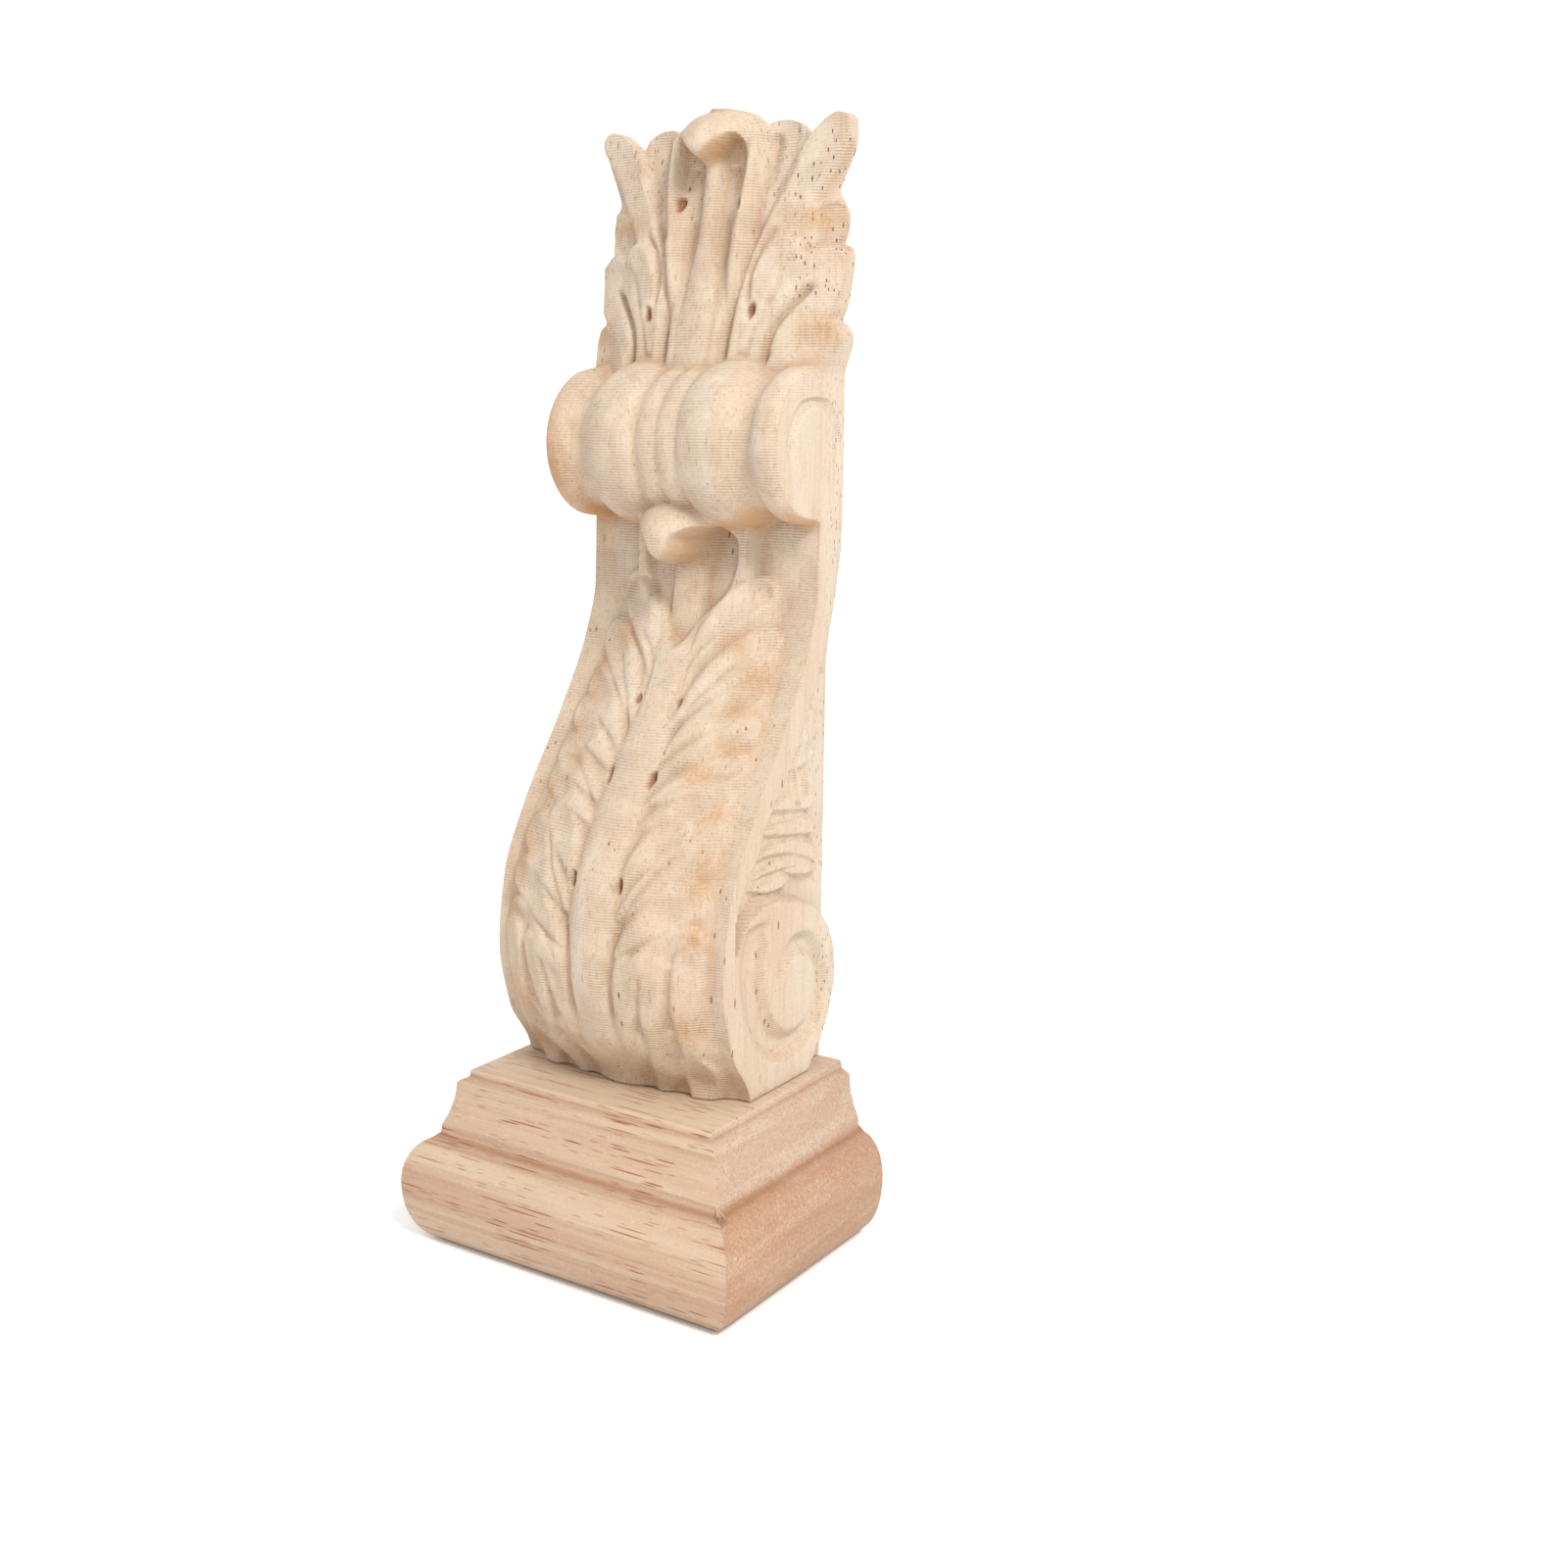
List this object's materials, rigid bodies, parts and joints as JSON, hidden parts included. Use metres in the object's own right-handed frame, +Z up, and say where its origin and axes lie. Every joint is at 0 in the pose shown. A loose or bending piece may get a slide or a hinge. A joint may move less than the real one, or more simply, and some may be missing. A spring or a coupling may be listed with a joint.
{
  "type": "carved wood corbel",
  "caption": "Carved acanthus scroll corbel with side volutes, standing on its own moulded wood base block, flat back.",
  "frame": {"origin": "centre of the footprint on the underside of the base block", "axes": "+Z up along the height, -Y out of the carved front, +Y out of the flat back, +X to the right seen from the front"},
  "size_m": [0.08, 0.06, 0.23],
  "materials": {
    "carved_wood": "raw sanded pale hardwood",
    "base_wood": "raw sanded hardwood with open brown pores"
  },
  "bodies": {
    "root": {"carved_corbel": "carved_wood", "moulded_base": "base_wood"}
  },
  "joints": []
}
